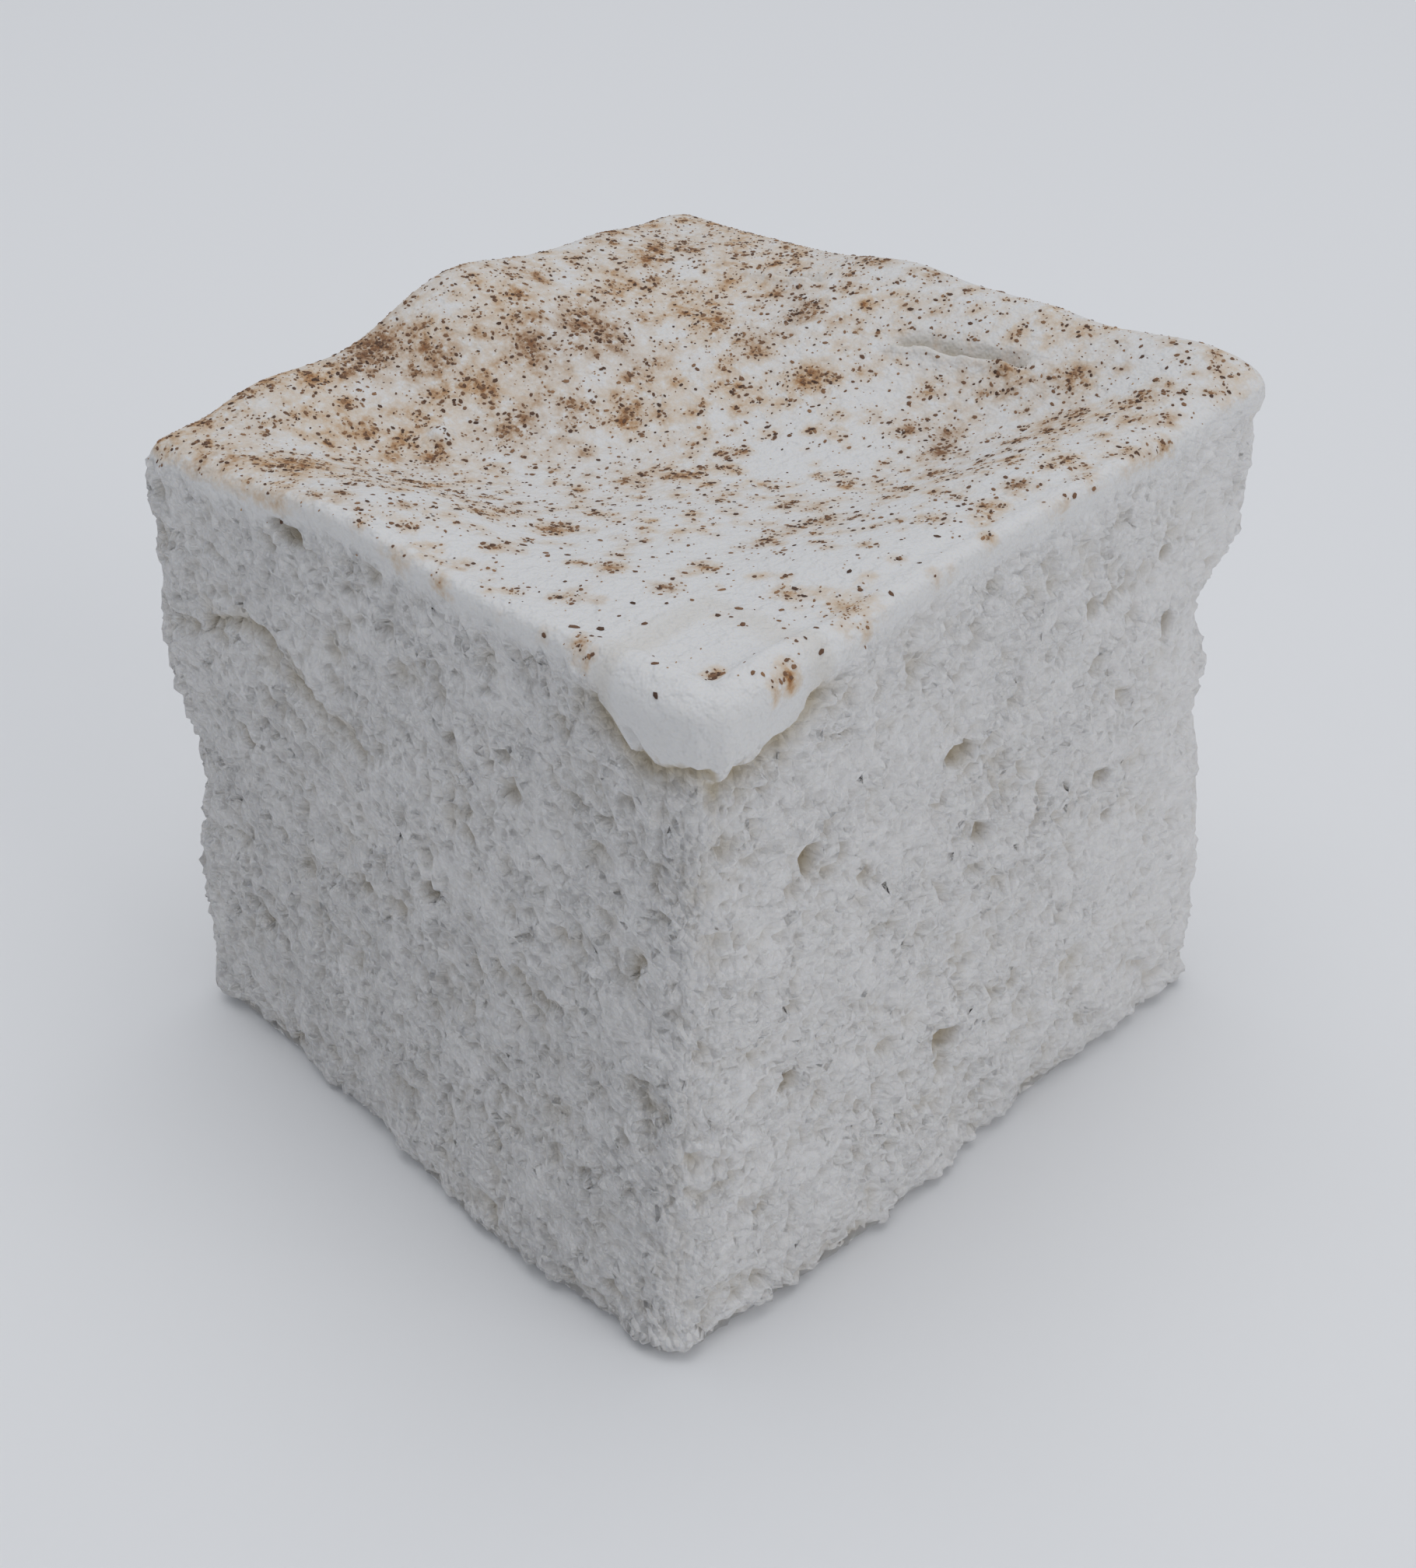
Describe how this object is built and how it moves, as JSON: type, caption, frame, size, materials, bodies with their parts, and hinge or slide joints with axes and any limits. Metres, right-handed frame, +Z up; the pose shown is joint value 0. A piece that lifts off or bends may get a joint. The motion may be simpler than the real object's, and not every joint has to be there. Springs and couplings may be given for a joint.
{
  "type": "cinnamon-dusted marshmallow cube",
  "caption": "Knife-cut cube of white marshmallow with pebbly foam sides, a dished smooth top skin dusted with cinnamon and a drooping front corner.",
  "frame": {"origin": "centre of the bounding box, on the plane of the flat base", "axes": "+Z up; the two sides shown meet at the corner between +X and -Y, where the skin droops"},
  "size_m": [0.048, 0.0496, 0.044],
  "materials": {
    "marshmallow": "matt white sugar foam with a satin top skin dusted with ground cinnamon"
  },
  "bodies": {
    "root": {"marshmallow": "marshmallow"}
  },
  "joints": []
}
